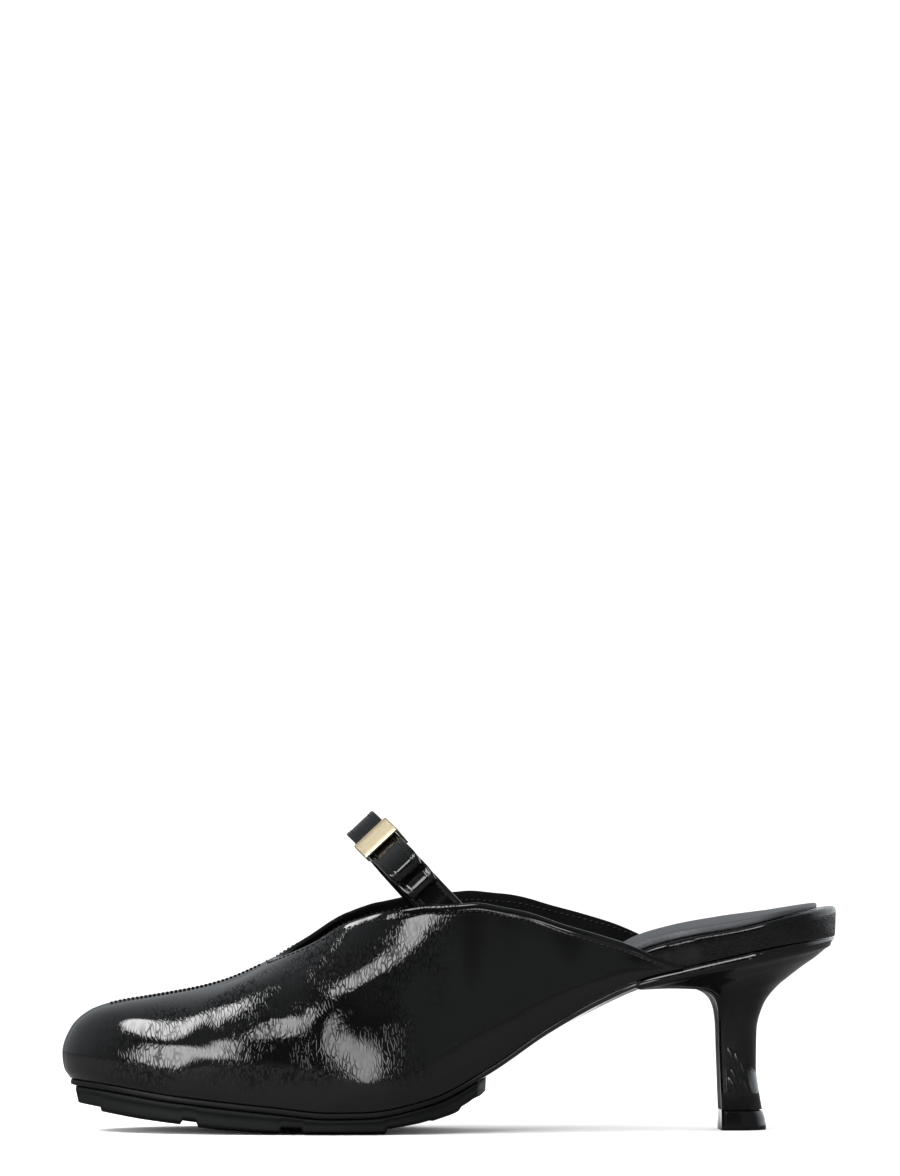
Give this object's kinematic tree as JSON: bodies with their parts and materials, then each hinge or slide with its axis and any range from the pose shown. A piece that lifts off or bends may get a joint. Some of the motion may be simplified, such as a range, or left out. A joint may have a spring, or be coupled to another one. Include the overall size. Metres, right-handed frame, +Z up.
{
  "type": "heeled mule",
  "caption": "Closed-toe heeled mule in black patent leather, with a centre seam, a lugged rubber forefoot, a covered heel and an instep strap with a leather bow and gold clasp.",
  "frame": {"origin": "on the floor under the middle of the shoe's length and width", "axes": "+Z up, -X toward the toe, -Y toward the outer side of the foot"},
  "size_m": [0.2398, 0.0792, 0.099],
  "materials": {
    "patent": "black patent leather, high gloss, finely crinkled",
    "lining": "smooth black lining leather, satin",
    "sole": "black polished sole edge and waist",
    "rubber": "black moulded rubber, matt",
    "lift": "black top piece, gloss",
    "gold": "pale gold plated, lightly brushed, bare face"
  },
  "bodies": {
    "root": {"upper": "patent", "outsole": "sole", "forefoot_sole": "rubber", "heel": "patent", "top_lift": "lift", "footbed": "patent", "sock_pad": "lining", "strap": "patent", "bow_lower_loops": "patent", "bow_upper_loops": "patent", "bow_clasp": "gold"}
  },
  "joints": []
}
